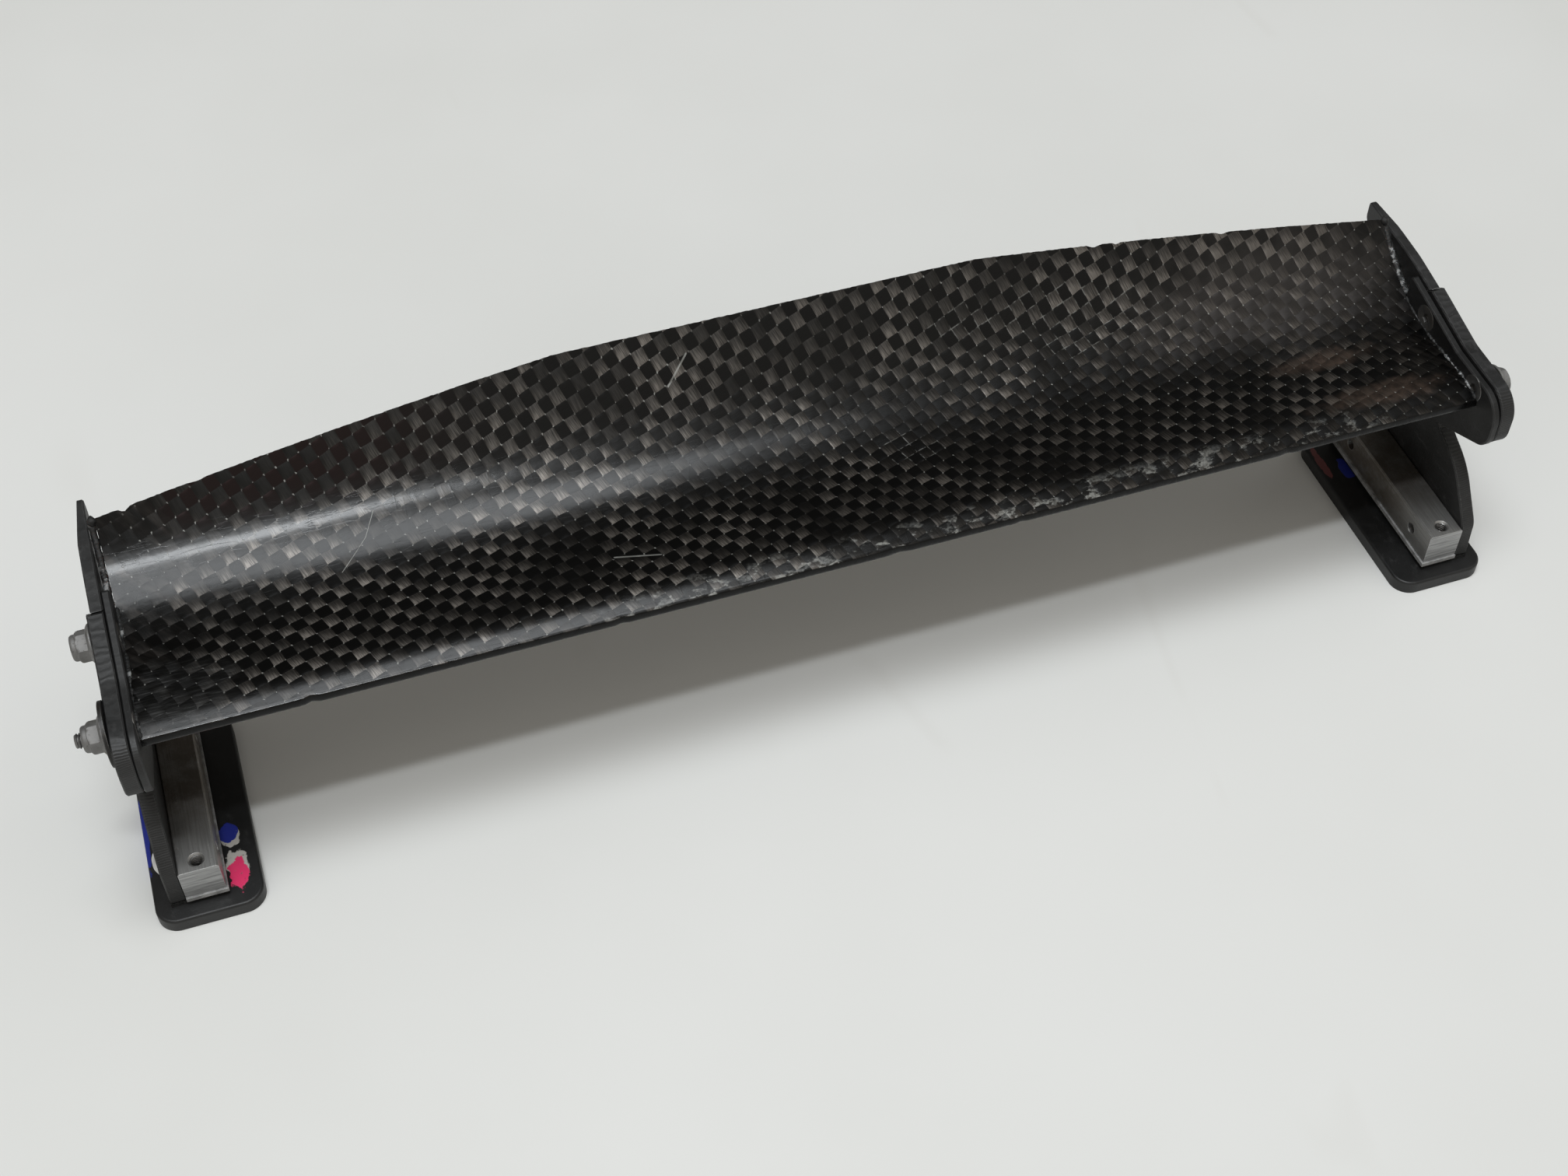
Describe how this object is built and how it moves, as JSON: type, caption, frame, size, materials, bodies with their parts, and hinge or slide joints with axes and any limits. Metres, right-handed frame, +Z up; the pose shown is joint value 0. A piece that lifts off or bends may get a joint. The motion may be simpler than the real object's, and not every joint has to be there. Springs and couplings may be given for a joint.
{
  "type": "model car rear wing",
  "caption": "Rear wing of a large-scale model touring car: a bent carbon blade between end plates that tilt on uprights screwed to aluminium foot bars.",
  "frame": {"origin": "on the standing surface, midway between the two feet; the centre of the overall box at rest lies 1.9 mm to the left of it, because the left slot bolt sticks out", "axes": "+X along the span towards the right-hand end seen from the front, +Y towards the trailing edge, +Z up"},
  "size_m": [0.3756, 0.0816, 0.0858],
  "materials": {
    "carbon_fibre": "plain weave carbon fibre, turned about 20 degrees, under a clear gloss coat, scuffed and scratched",
    "end_plate_plastic": "worn black engineering plastic, satin, adhesive scuffs along the blade",
    "adhesive": "hardened grey-white adhesive, uneven and partly dirty",
    "upright_plastic": "black engineering plastic with fine machining lines on its edges",
    "base_plastic": "black plastic with blue and pink paint residue and grey scuffs",
    "aluminium_bar": "dull bare bar stock, sawn ends, slight brown staining",
    "black_foam": "thin black self-adhesive foam",
    "grey_shim": "grey painted polycarbonate sheet offcut",
    "zinc_steel": "bright zinc plating",
    "zinc_nut": "dull worn zinc plating",
    "bolt_steel": "dull zinc plating, slightly stained",
    "black_steel": "black oxide steel",
    "black_washer": "black oxide, rubbed at the edge",
    "nylon": "natural nylon"
  },
  "bodies": {
    "feet": {"upright_right": "upright_plastic", "upright_left": "upright_plastic", "foot_bar_right": "aluminium_bar", "foot_bar_left": "aluminium_bar", "base_plate_right": "base_plastic", "base_plate_left": "base_plastic", "foam_pad_right": "black_foam", "foam_pad_left": "black_foam", "shell_shim_right": "grey_shim", "shell_shim_left": "grey_shim", "upright_screws_right": "zinc_steel", "upright_screws_left": "zinc_steel", "base_screws_right": "black_steel", "base_screws_left": "black_steel"},
    "wing": {"wing_blade": "carbon_fibre", "end_plate_right": "end_plate_plastic", "end_plate_left": "end_plate_plastic", "end_fin_right": "end_plate_plastic", "end_fin_left": "end_plate_plastic", "end_bead_right": "adhesive", "end_bead_left": "adhesive", "pivot_bolt_right": "bolt_steel", "pivot_bolt_left": "bolt_steel", "slot_bolt_right": "bolt_steel", "slot_bolt_left": "bolt_steel", "pivot_nut_left": "zinc_nut", "slot_nut_right": "zinc_nut", "slot_nut_left": "zinc_nut", "nut_inserts_left": "nylon", "slot_washer_left": "black_washer"}
  },
  "joints": [
    {"name": "wing_tilt", "type": "hinge", "parent": "feet", "child": "wing", "pos_m": [0, 0.0017, 0.0635], "axis": [1, 0, 0], "range_deg": [0, 8]}
  ]
}
